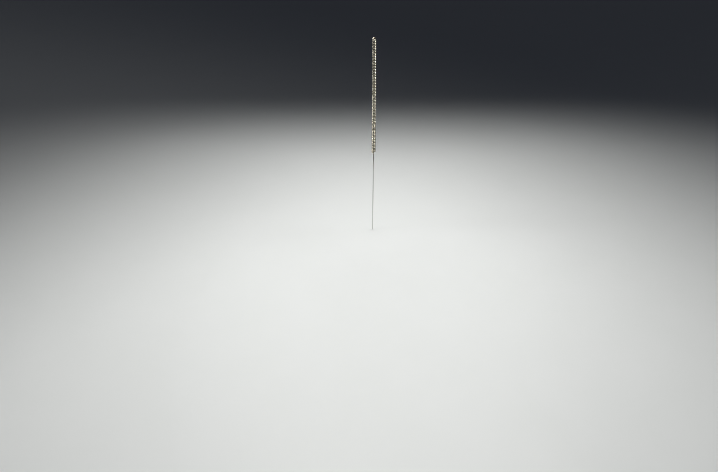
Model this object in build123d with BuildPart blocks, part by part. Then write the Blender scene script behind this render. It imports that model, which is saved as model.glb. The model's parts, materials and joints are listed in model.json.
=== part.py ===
"""Acupuncture needle with a wire-wound handle, standing upright in the surface it was pushed into.

The real object is two pieces of wire. A steel wire is ground to a point at its lower end, polished
along its free length and left raw at its upper end. A softer, thicker wire is wound round the raw
end, turn against turn, and is the handle.

Units are millimetres and +Z runs up the needle, from the tip to the top of the handle. The origin
is on the needle's axis, where it enters the surface that holds it: the tip lies below the origin.
"""

import os

from build123d import *

os.makedirs("parts", exist_ok=True)

# Needle wire
FREE_LENGTH = 40.0  # from the tip to the foot of the handle
SHAFT_DIAMETER = 0.30
DEPTH_IN_HOLDER = 13.25  # length of the free wire that is below the origin
TIP_LENGTH = 2.4  # the ground, pointed end
TIP_RADIUS = 0.012  # the point is slightly blunt
RAW_DIAMETER = 0.306  # the wire inside the handle has not been polished down
RAW_STEP_LENGTH = 0.7  # the polish runs out over this length, inside the first turns
CORE_SHORT_OF_TOP = 0.35  # the core ends below the handle's last turn

# Handle winding
HANDLE_LENGTH = 35.0
WINDING_WIRE_DIAMETER = 0.45
WINDING_TURNS = 74.6
WINDING_START_ANGLE = -90.0  # the lower end lies at the front, -Y
WINDING_CLEARANCE = 0.005  # between the turns and the core

# Heights and radii that follow from them
TIP_Z = -DEPTH_IN_HOLDER
HANDLE_FOOT_Z = TIP_Z + FREE_LENGTH
HANDLE_TOP_Z = HANDLE_FOOT_Z + HANDLE_LENGTH
CORE_TOP_Z = HANDLE_TOP_Z - CORE_SHORT_OF_TOP
SHAFT_RADIUS = SHAFT_DIAMETER / 2
RAW_RADIUS = RAW_DIAMETER / 2
WIRE_RADIUS = WINDING_WIRE_DIAMETER / 2
WINDING_HEIGHT = HANDLE_LENGTH - WINDING_WIRE_DIAMETER
WINDING_RADIUS = RAW_RADIUS + WINDING_CLEARANCE + WIRE_RADIUS

# The point's flank is one arc that meets the shaft's side and the blunt point without a corner.
BLUNT_CENTRE_Z = TIP_Z + TIP_RADIUS
SHOULDER_Z = TIP_Z + TIP_LENGTH
FLANK_RISE = SHOULDER_Z - BLUNT_CENTRE_Z
FLANK_RADIUS = (SHAFT_RADIUS**2 - TIP_RADIUS**2 + FLANK_RISE**2) / (2 * (SHAFT_RADIUS - TIP_RADIUS))
BLUNT_SCALE = TIP_RADIUS / (FLANK_RADIUS - TIP_RADIUS)
FLANK_START = (BLUNT_SCALE * (FLANK_RADIUS - SHAFT_RADIUS), BLUNT_CENTRE_Z - BLUNT_SCALE * FLANK_RISE)


# The steel wire: its point, the polished shaft, and the raw core inside the handle.
with BuildPart() as needle_shaft:
    with BuildSketch(Plane.XZ):
        with BuildLine():
            RadiusArc((0, TIP_Z), FLANK_START, -TIP_RADIUS)
            RadiusArc(FLANK_START, (SHAFT_RADIUS, SHOULDER_Z), -FLANK_RADIUS)
            Polyline(
                (SHAFT_RADIUS, SHOULDER_Z),
                (SHAFT_RADIUS, HANDLE_FOOT_Z),
                (RAW_RADIUS, HANDLE_FOOT_Z + RAW_STEP_LENGTH),
                (RAW_RADIUS, CORE_TOP_Z),
                (0, CORE_TOP_Z),
                (0, TIP_Z),
            )
        make_face()
    revolve(axis=Axis.Z)
needle_shaft.part.label = "needle_shaft"
export_step(needle_shaft.part, "parts/needle_shaft.step")


# The handle: one wire wound left-handed from the foot of the handle to its top.
with BuildPart() as handle_winding:
    with BuildLine() as turns:
        helix = Helix(
            pitch=WINDING_HEIGHT / WINDING_TURNS,
            height=WINDING_HEIGHT,
            radius=WINDING_RADIUS,
            center=(0, 0, HANDLE_FOOT_Z + WIRE_RADIUS),
            lefthand=True,
            mode=Mode.PRIVATE,
        )
        add(helix, rotation=WINDING_START_ANGLE)
    with BuildSketch(Plane(turns.line @ 0, z_dir=turns.line % 0)):
        Circle(WIRE_RADIUS)
    sweep(path=turns.line, is_frenet=True)
handle_winding.part.label = "handle_winding"
export_step(handle_winding.part, "parts/handle_winding.step")
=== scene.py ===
import json
import math

import bpy
import numpy as np
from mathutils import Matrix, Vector


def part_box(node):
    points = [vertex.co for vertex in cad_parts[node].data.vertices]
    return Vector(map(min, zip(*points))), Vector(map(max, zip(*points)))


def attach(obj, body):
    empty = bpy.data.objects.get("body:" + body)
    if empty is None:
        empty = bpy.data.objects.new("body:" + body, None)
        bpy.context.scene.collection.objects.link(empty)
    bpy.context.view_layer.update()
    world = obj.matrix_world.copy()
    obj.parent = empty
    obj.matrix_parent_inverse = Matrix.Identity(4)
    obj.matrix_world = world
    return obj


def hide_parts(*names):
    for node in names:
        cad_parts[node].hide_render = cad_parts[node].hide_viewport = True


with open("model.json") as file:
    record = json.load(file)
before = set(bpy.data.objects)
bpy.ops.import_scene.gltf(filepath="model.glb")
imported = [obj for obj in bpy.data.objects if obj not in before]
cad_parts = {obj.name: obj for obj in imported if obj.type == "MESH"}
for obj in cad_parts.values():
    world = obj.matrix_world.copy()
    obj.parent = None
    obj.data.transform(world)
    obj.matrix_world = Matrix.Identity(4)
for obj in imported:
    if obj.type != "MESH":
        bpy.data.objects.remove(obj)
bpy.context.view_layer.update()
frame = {"record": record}

# An acupuncture needle stands upright in a pale surface, point down. Two pieces are rebuilt in finer
# detail than the CAD gives them: the steel wire, and the wire that is wound round its upper end as a
# handle. Everything is in metres, and z = 0 is the surface that the needle stands in.

MM = 0.001

# ---------------------------------------------------------------- sizes, from the frame

shaft_low, shaft_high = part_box("needle_shaft")
winding_low, winding_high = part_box("handle_winding")
shaft_mount = next(m for m in frame["record"]["mounts"] if m["name"] == "shaft")

SHAFT_RADIUS = shaft_mount["dims"]["r_mm"] * MM
CORE_RADIUS = shaft_high.x
TIP_Z = shaft_low.z
CORE_TOP_Z = shaft_high.z
FOOT_Z = winding_low.z
TOP_Z = winding_high.z

# These repeat the CAD source, or follow from it.
TIP_LENGTH = 2.4 * MM
TIP_RADIUS = 0.012 * MM
RAW_STEP_LENGTH = 0.7 * MM
WIRE_RADIUS = 0.225 * MM
COIL_RADIUS = winding_high.x - WIRE_RADIUS
TURNS = 74.6
START_ANGLE = math.radians(-90)
HAND = -1  # left-handed: the wire climbs clockwise, seen from above

# The rest is detail that the CAD leaves out.
CORE_BEVEL = 0.02 * MM
PITCH_WANDER = 0.004 * MM  # how far a turn may stand above or below its even place
PITCH_KNOTS = 60
RADIUS_WANDER = 0.003 * MM  # how far it may stand in or out
RADIUS_KNOTS = 90
END_FLARE = 0.022 * MM  # how far the cut ends have sprung out
FLARE_TURNS = 0.3
CUT_BEVEL = 0.035 * MM  # the length of the bevel at a cut end
BEVEL_SCALE = 0.94  # the wire's size halfway along the bevel
CUT_SCALE = 0.8  # and at the cut face
CUT_SLANT = 0.03 * MM

# A needle is never quite straight: its sideways place at a few heights, with smooth bends between.
BOW_HEIGHTS = np.array([0.0, 6.0, 11.0, 20.0, 27.0, 46.0, 62.0]) * MM
BOW_OFFSETS = np.array([0.0, -0.025, 0.02, 0.095, 0.075, 0.03, -0.09]) * MM

# The floor is drawn down a little where the needle goes in.
DIMPLE_DEPTH = 0.05 * MM
DIMPLE_REACH = 0.28 * MM
DIMPLE_SHAPE = 1.3  # the exponent of its fall-off
FLOOR_RADII = np.array([0.0, 0.13, 0.17, 0.22, 0.3, 0.4, 0.55, 0.8, 1.2, 3, 30, 300, 8000]) * MM

rng = np.random.default_rng(41)


# ---------------------------------------------------------------- mesh helpers

def link(obj):
    bpy.context.scene.collection.objects.link(obj)
    return obj


def mesh_object(name, vertices, faces):
    """A smooth-shaded mesh, linked to the scene."""
    mesh = bpy.data.meshes.new(name)
    mesh.from_pydata(np.asarray(vertices).tolist(), [], faces)
    mesh.update()
    mesh.shade_smooth()
    return link(bpy.data.objects.new(name, mesh))


def tube_faces(rings, around):
    """Quads between successive rings of points, and a flat cap on each end."""
    faces = []
    for i in range(rings - 1):
        for j in range(around):
            k = (j + 1) % around
            faces.append((i * around + j, i * around + k, (i + 1) * around + k, (i + 1) * around + j))
    faces.append(tuple(reversed(range(around))))
    faces.append(tuple((rings - 1) * around + j for j in range(around)))
    return faces


def add_attribute(obj, name, values):
    """Gives each point of the mesh a number that its material can read."""
    attribute = obj.data.attributes.new(name, "FLOAT", "POINT")
    attribute.data.foreach_set("value", np.asarray(values, np.float32).ravel())


def eased(x, knots, values):
    """Values at x on a curve that eases from each knot to the next."""
    i = np.clip(np.searchsorted(knots, x, side="right") - 1, 0, len(knots) - 2)
    t = np.clip((x - knots[i]) / (knots[i + 1] - knots[i]), 0, 1)
    t = t * t * (3 - 2 * t)
    return values[i] * (1 - t) + values[i + 1] * t


def wander(x, knots, size):
    """A smooth random curve of at most this size along x, which runs from 0 to 1."""
    return eased(x, np.linspace(0, 1, knots), rng.uniform(-size, size, knots))


def bowed(points):
    """The points with the needle's slight bow added."""
    points = points.copy()
    points[:, 0] += eased(points[:, 2], BOW_HEIGHTS, BOW_OFFSETS)
    return points


# ---------------------------------------------------------------- the steel wire

def shaft_profile():
    """Heights and radii from the blunt point, up the ogive and the free length, to the core's top."""
    blunt_z = TIP_Z + TIP_RADIUS
    shoulder_z = TIP_Z + TIP_LENGTH
    rise = shoulder_z - blunt_z
    flank = (SHAFT_RADIUS**2 - TIP_RADIUS**2 + rise**2) / (2 * (SHAFT_RADIUS - TIP_RADIUS))
    profile = []
    for angle in np.radians([80, 60, 40, 20, 6]):
        profile.append((blunt_z - TIP_RADIUS * math.sin(angle), TIP_RADIUS * math.cos(angle)))
    for share in np.linspace(0.01, 1, 30):
        height = blunt_z + rise * share
        inset = flank - math.sqrt(flank**2 - (shoulder_z - height) ** 2)
        profile.append((height, SHAFT_RADIUS - inset))
    for height in np.linspace(shoulder_z, FOOT_Z, 60)[1:]:
        profile.append((height, SHAFT_RADIUS))
    for height in np.linspace(FOOT_Z + RAW_STEP_LENGTH, CORE_TOP_Z - CORE_BEVEL, 50):
        profile.append((height, CORE_RADIUS))
    profile.append((CORE_TOP_Z, CORE_RADIUS - CORE_BEVEL))
    return np.array(profile)


def make_shaft(around=48):
    """The steel wire: its profile turned round the axis, then bowed."""
    height, radius = shaft_profile().T
    angle = np.linspace(0, 2 * np.pi, around, endpoint=False)
    points = np.empty((len(height), around, 3))
    points[..., 0] = radius[:, None] * np.cos(angle)
    points[..., 1] = radius[:, None] * np.sin(angle)
    points[..., 2] = height[:, None]
    return mesh_object("steel_wire", bowed(points.reshape(-1, 3)), tube_faces(len(height), around))


# ---------------------------------------------------------------- the winding

def winding_path(count):
    """The wire's centre line, which way is outward from the needle there, and the turns wound so far."""
    share = np.linspace(0, 1, count)
    turn = share * TURNS
    to_end = np.minimum(turn, TURNS - turn)
    angle = START_ANGLE + HAND * 2 * np.pi * turn
    lowest, highest = FOOT_Z + WIRE_RADIUS, TOP_Z - WIRE_RADIUS
    unevenness = wander(share, PITCH_KNOTS, PITCH_WANDER) * np.minimum(1, to_end)
    flare = END_FLARE * np.clip(1 - to_end / FLARE_TURNS, 0, 1) ** 2
    radius = COIL_RADIUS + wander(share, RADIUS_KNOTS, RADIUS_WANDER) + flare
    outward = np.stack([np.cos(angle), np.sin(angle), np.zeros(count)], 1)
    centre = radius[:, None] * outward
    centre[:, 2] = lowest + (highest - lowest) * share + unevenness
    return centre, outward, turn


def groove_depth(turn, cosine, sine):
    """How deep in the grooves each point is, from 0 on the outer crown to 1 on the inner side, where
    cosine and sine say how far out and up it is in the wire's section. The top of the last turn, part
    of its inner side, and the underside of the first turn lie open, and so count for little."""
    open_loss = 0.9
    inner_share = 0.35
    last_turn = np.clip(2 * (turn - TURNS + 1), 0, 1)[:, None]
    first_turn = np.clip(2 * (1 - turn), 0, 1)[:, None]
    open_above = last_turn * np.clip(np.maximum(sine, -inner_share * cosine), 0, 1)
    open_below = first_turn * np.maximum(-sine, 0)
    return (0.5 - 0.5 * cosine) * (1 - open_loss * open_above) * (1 - open_loss * open_below)


def make_winding(around=24, per_turn=36):
    """The handle's wire: a tube along its helix, with cut ends. Three attributes place each point for
    the material: its metres along the wire, how far up it is in the wire's section, from -1 to 1, and
    how deep in the grooves."""
    count = int(TURNS * per_turn) + 1
    centre, outward, turn = winding_path(count)
    tangent = np.gradient(centre, axis=0)
    tangent /= np.linalg.norm(tangent, axis=1)[:, None]
    upward = np.cross(tangent, outward) * -HAND
    section = np.linspace(0, 2 * np.pi, around, endpoint=False)
    cosine, sine = np.cos(section), np.sin(section)

    def ring(i, scale=1.0, ahead=0.0):
        """The points round the wire at its i-th step. A cut end's are drawn in, ahead and aslant."""
        slant = CUT_SLANT * (1 - scale) / (1 - CUT_SCALE) * sine[:, None] * tangent[i]
        across = cosine[:, None] * outward[i] + sine[:, None] * upward[i]
        return centre[i] + ahead * tangent[i] + slant + WIRE_RADIUS * scale * across

    # Each cut end is two more rings: a bevel, and a face slanted as cutters leave it.
    last = count - 1
    rings = [ring(0, CUT_SCALE, -CUT_BEVEL), ring(0, BEVEL_SCALE, -CUT_BEVEL / 2)]
    rings += [ring(i) for i in range(count)]
    rings += [ring(last, BEVEL_SCALE, CUT_BEVEL / 2), ring(last, CUT_SCALE, CUT_BEVEL)]
    obj = mesh_object("winding_wire", bowed(np.concatenate(rings)), tube_faces(len(rings), around))

    steps = np.linalg.norm(np.diff(centre, axis=0), axis=1)
    along = np.concatenate([[0], np.cumsum(steps)])
    ring_steps = [0, 0, *range(count), last, last]
    add_attribute(obj, "along", np.repeat(along[ring_steps], around))
    add_attribute(obj, "section_sine", np.tile(sine, len(rings)))
    add_attribute(obj, "groove", groove_depth(turn, cosine, sine)[ring_steps])
    return obj


# ---------------------------------------------------------------- materials

class Nodes:
    """A material and short ways to add its nodes."""

    def __init__(self, name):
        self.material = bpy.data.materials.new(name)
        self.material.use_nodes = True
        self.tree = self.material.node_tree
        self.shader = self.tree.nodes["Principled BSDF"]

    def put(self, socket, value):
        """Links another node's socket to this one, or sets a plain value. None leaves it as it is."""
        if isinstance(value, bpy.types.NodeSocket):
            self.tree.links.new(value, socket)
        elif value is not None:
            socket.default_value = value

    def set(self, **values):
        """Sets or links the shader's own sockets: base_color for Base Color, and so on."""
        for name, value in values.items():
            self.put(self.shader.inputs[name.replace("_", " ").title()], value)

    def node(self, kind, *inputs, **options):
        """Adds a node, and sets its inputs in order and its options by name."""
        made = self.tree.nodes.new("ShaderNode" + kind)
        for name, value in options.items():
            setattr(made, name, value)
        for socket, value in zip(made.inputs, inputs):
            self.put(socket, value)
        return made

    def math(self, operation, a, b=None, c=None):
        return self.node("Math", a, b, c, operation=operation).outputs[0]

    def ramp(self, value, zero_at, one_at):
        """Eases from 0 where the value is zero_at to 1 where it is one_at."""
        made = self.node("MapRange", value, zero_at, one_at, 0.0, 1.0, interpolation_type="SMOOTHSTEP")
        return made.outputs[0]

    def noise(self, vector, scale, detail=4.0, roughness=0.6):
        """Noise from 0 to 1, with scale cells in each unit of the vector."""
        made = self.node("TexNoise")
        self.put(made.inputs["Vector"], vector)
        made.inputs["Scale"].default_value = scale
        made.inputs["Detail"].default_value = detail
        made.inputs["Roughness"].default_value = roughness
        return made.outputs["Fac"]

    def mix(self, share, a, b):
        """A colour that is the given share of the way from a to b."""
        made = self.node("Mix", data_type="RGBA")
        self.put(made.inputs["Factor"], share)
        self.put(made.inputs["A"], a)
        self.put(made.inputs["B"], b)
        return made.outputs["Result"]

    def attribute(self, name):
        return self.node("Attribute", attribute_name=name).outputs["Fac"]

    def scaled(self, x, y, z, x_scale=1.0, y_scale=1.0, z_scale=1.0):
        """A vector of three values, each times its scale, for noise that is longer one way."""
        parts = []
        for value, scale in ((x, x_scale), (y, y_scale), (z, z_scale)):
            parts.append(value if scale == 1.0 else self.math("MULTIPLY", value, scale))
        return self.node("CombineXYZ", *parts).outputs[0]

    def bump(self, height, distance, strength=1.0):
        """Relief where a height of 1 is the distance, in metres."""
        made = self.node("Bump")
        made.inputs["Strength"].default_value = strength
        made.inputs["Distance"].default_value = distance
        self.put(made.inputs["Height"], height)
        return made.outputs[0]


def steel_material():
    """Bright drawn steel: lengthwise polishing marks, a ground point, a painted reflection of the floor
    that lightens it low down, and a darker, rougher stretch below the handle.
    """
    reflected_and_plain_colors = (0.62, 0.615, 0.60, 1), (0.51, 0.505, 0.49, 1)  # lighter with a painted reflection of the floor, and plain
    dark_root_colors = (0.17, 0.165, 0.155, 1), (0.25, 0.24, 0.225, 1)
    floor_reflection_fade_from, floor_reflection_fade_to = 6 * MM, 16 * MM  # the painted floor reflection fades out between these heights
    floor_reflection_waver = 4 * MM
    dark_root_below_foot = 7.2 * MM  # the darker stretch starts this far below the handle, at most
    dark_root_fade = 5.4 * MM  # and takes this long to become full
    dark_root_waver = 1.6 * MM
    mark_depth = 0.0002 * MM
    grinding_depth = 6.0  # times a polishing mark's

    n = Nodes("polished_steel")
    axes = n.node("SeparateXYZ", n.node("TexCoord").outputs["Object"]).outputs
    height = axes["Z"]
    marks = n.noise(n.scaled(axes["X"], axes["Y"], height, z_scale=0.006), 60000, detail=5)
    smears = n.noise(n.scaled(axes["X"], axes["Y"], height, z_scale=0.25), 2500, detail=3)
    grinding = n.noise(n.scaled(axes["X"], axes["Y"], height, z_scale=0.15), 90000, detail=3)

    at_point = n.ramp(height, TIP_Z + TIP_LENGTH * 1.1, TIP_Z + TIP_LENGTH * 0.7)
    # Painted reflection: the steel is painted lighter within about 16 mm of the floor, as if it reflected
    # the floor near it, and plain above.
    floor_reflection_fade = n.ramp(n.math("MULTIPLY_ADD", smears, floor_reflection_waver, height), floor_reflection_fade_from, floor_reflection_fade_to)
    # The steel is darker and rougher from a few mm below the handle up into it.
    dark_root_edge = n.math("MULTIPLY_ADD", smears, dark_root_waver, FOOT_Z - dark_root_below_foot)
    dark_root = n.ramp(n.math("SUBTRACT", height, dark_root_edge), 0.0, dark_root_fade)

    color = n.mix(dark_root, n.mix(floor_reflection_fade, *reflected_and_plain_colors), n.mix(smears, *dark_root_colors))
    roughness = n.math("MULTIPLY_ADD", marks, 0.10, 0.13)
    roughness = n.math("MULTIPLY_ADD", at_point, 0.10, roughness)
    roughness = n.math("MULTIPLY_ADD", dark_root, 0.16, roughness)
    ground = n.math("MULTIPLY", n.math("MULTIPLY", grinding, at_point), grinding_depth)
    normal = n.bump(n.math("ADD", marks, ground), mark_depth)
    n.set(base_color=color, metallic=1.0, roughness=roughness, normal=normal)
    return n.material


def silver_wire_material():
    """Nickel-silver wire: drawing lines along it, bright crowns, and tarnish with painted shade down in
    the grooves.
    """
    clean_colors = (0.52, 0.485, 0.395, 1), (0.64, 0.605, 0.51, 1)
    tarnish_and_shade_colors = (0.13, 0.088, 0.037, 1), (0.23, 0.168, 0.080, 1)
    tarnish_and_shade_from, tarnish_and_shade_full = 0.06, 0.42  # how deep in a groove
    tarnish_and_shade_waver = 0.3
    line_depth = 0.0012 * MM
    nick_depth = 1.5  # times a drawing line's

    # The wire is unrolled for its noise: x runs along it, and y and z lie across it.
    n = Nodes("silver_wire")
    groove = n.attribute("groove")
    place = n.attribute("along"), groove, n.attribute("section_sine")
    lines = n.noise(n.scaled(*place, 900, 60.0, 30.0), 1.0, detail=4)
    cloud = n.noise(n.scaled(*place, 1500, 9.0), 1.0, detail=3)
    nicks = n.ramp(n.noise(n.scaled(*place, 14000, 40.0), 1.0), 0.62, 0.72)

    # Tarnish and painted shade: the deeper the wire lies in the grooves between turns, the darker,
    # browner and rougher it is painted.
    depth = n.math("ADD", groove, n.math("MULTIPLY_ADD", cloud, tarnish_and_shade_waver, -tarnish_and_shade_waver / 2))
    tarnish_and_shade = n.ramp(depth, tarnish_and_shade_from, tarnish_and_shade_full)
    color = n.mix(tarnish_and_shade, n.mix(cloud, *clean_colors), n.mix(cloud, *tarnish_and_shade_colors))
    roughness = n.math("MULTIPLY_ADD", lines, 0.12, 0.165)
    roughness = n.math("MULTIPLY_ADD", tarnish_and_shade, 0.16, roughness)
    relief = n.math("SUBTRACT", lines, n.math("MULTIPLY", nicks, nick_depth))
    n.set(base_color=color, metallic=1.0, roughness=roughness, normal=n.bump(relief, line_depth))
    return n.material


def floor_material():
    """A matt pale surface, faintly mottled and grained."""
    n = Nodes("pale_floor")
    place = n.node("TexCoord").outputs["Object"]
    mottle = n.noise(place, 60, detail=3)
    grain = n.noise(place, 2600, detail=2)
    color = n.mix(mottle, (0.735, 0.75, 0.725, 1), (0.765, 0.775, 0.755, 1))
    n.set(base_color=color, roughness=0.62, normal=n.bump(grain, 0.01 * MM, strength=0.5))
    return n.material


# ---------------------------------------------------------------- the stage

def make_floor(around=64):
    """A wide round floor, with a small dimple round the needle."""
    beyond_shaft = np.maximum(FLOOR_RADII - SHAFT_RADIUS, 0)
    depth = DIMPLE_DEPTH * np.exp(-(beyond_shaft / DIMPLE_REACH) ** DIMPLE_SHAPE)
    angle = np.linspace(0, 2 * np.pi, around, endpoint=False)
    points = [(0, 0, -depth[0])]
    for r, d in zip(FLOOR_RADII[1:], depth[1:]):
        points += [(r * math.cos(a), r * math.sin(a), -d) for a in angle]
    faces = [(0, 1 + j, 1 + (j + 1) % around) for j in range(around)]
    for i in range(len(FLOOR_RADII) - 2):
        low, high = 1 + i * around, 1 + (i + 1) * around
        for j in range(around):
            k = (j + 1) % around
            faces.append((low + j, high + j, high + k, low + k))
    return mesh_object("floor", points, faces)


def make_room():
    """A dim bluish room, brighter overhead by as much as makes the far floor as bright as the horizon."""
    world = bpy.data.worlds.new("room")
    bpy.context.scene.world = world
    world.use_nodes = True
    tree = world.node_tree
    background = tree.nodes["Background"]
    background.inputs["Color"].default_value = (0.020, 0.022, 0.028, 1)
    direction = tree.nodes.new("ShaderNodeTexCoord")
    axes = tree.nodes.new("ShaderNodeSeparateXYZ")
    brightness = tree.nodes.new("ShaderNodeMapRange")
    brightness.inputs["To Min"].default_value = 0.9
    brightness.inputs["To Max"].default_value = 1.35
    tree.links.new(direction.outputs["Generated"], axes.inputs[0])
    tree.links.new(axes.outputs["Z"], brightness.inputs["Value"])
    tree.links.new(brightness.outputs[0], background.inputs["Strength"])


def aimed(name, light, place, aim):
    """Puts a light at a place, and points it at the aim."""
    obj = link(bpy.data.objects.new(name, light))
    obj.location = place
    obj.rotation_euler = (Vector(aim) - Vector(place)).to_track_quat("-Z", "Y").to_euler()


def spot_light(name, place, aim, radius, power, cone, blend):
    """A soft round lamp, whose light is a soft-edged cone of so many degrees."""
    light = bpy.data.lights.new(name, "SPOT")
    light.shadow_soft_size = radius
    light.energy = power
    light.spot_size = math.radians(cone)
    light.spot_blend = blend
    aimed(name, light, place, aim)


def panel_light(name, place, aim, width, height, power, spread):
    """A soft oval panel, whose light spreads only so many degrees, to keep it off the near floor."""
    light = bpy.data.lights.new(name, "AREA")
    light.shape = "ELLIPSE"
    light.size = width
    light.size_y = height
    light.energy = power
    light.spread = math.radians(spread)
    aimed(name, light, place, aim)


def make_studio():
    """High lamps, in an arc behind the needle and one on each side, light a pool of the floor that
    fades out behind the needle. Two low panels, on the right and the left, light its sides."""
    arc_lamps = 10
    arc_from, arc_to = 28, 152  # degrees, and 90 is straight behind the needle
    arc_radius, arc_height = 0.20, 0.42
    pool_y = -0.058
    spread_across = -0.55  # each lamp of the arc aims across the middle, by this much of its own x
    for i, azimuth in enumerate(np.radians(np.linspace(arc_from, arc_to, arc_lamps))):
        place = (arc_radius * math.cos(azimuth), arc_radius * math.sin(azimuth), arc_height)
        aim = (spread_across * place[0], pool_y, 0)
        spot_light("back_lamp_%d" % i, place, aim, radius=0.022, power=0.58, cone=30.5, blend=0.25)

    side_aim = (0, -0.08, 0)
    spot_light("right_lamp", (0.19, 0.02, 0.42), side_aim, radius=0.05, power=2.0, cone=32, blend=0.3)
    spot_light("left_lamp", (-0.30, -0.04, 0.34), side_aim, radius=0.05, power=2.4, cone=32, blend=0.3)

    handle_middle, shaft_top = (0, 0, 0.045), (0, 0, 0.022)
    panel_light("low_right_lamp", (0.364, -0.16, 0.075), handle_middle,
                width=0.16, height=0.08, power=0.028, spread=24)
    panel_light("low_left_lamp", (-0.36, -0.13, 0.03), shaft_top,
                width=0.10, height=0.04, power=0.004, spread=16)


def make_camera():
    """A camera in front of the needle and above it, which looks down by its tilt."""
    place = (-0.00414, -0.21453, 0.14851)
    tilt = math.radians(35.166)
    data = bpy.data.cameras.new("camera")
    data.sensor_width = 36
    data.lens = 42.62
    data.clip_start = 0.01
    data.clip_end = 50
    camera = link(bpy.data.objects.new("camera", data))
    camera.location = place
    camera.rotation_euler = (math.pi / 2 - tilt, 0, 0)
    bpy.context.scene.camera = camera


# ---------------------------------------------------------------- the scene

shaft = make_shaft()
shaft.data.materials.append(steel_material())
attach(shaft, "root")
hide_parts("needle_shaft")

winding = make_winding()
winding.data.materials.append(silver_wire_material())
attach(winding, "root")
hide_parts("handle_winding")

floor = make_floor()
floor.data.materials.append(floor_material())

make_room()
make_studio()
make_camera()

# A narrow pixel filter and unfiltered denoising guides keep wire that is a few pixels wide crisp.
scene = bpy.context.scene
scene.view_settings.view_transform = "Standard"
scene.cycles.filter_width = 1.0
scene.cycles.denoising_prefilter = "NONE"
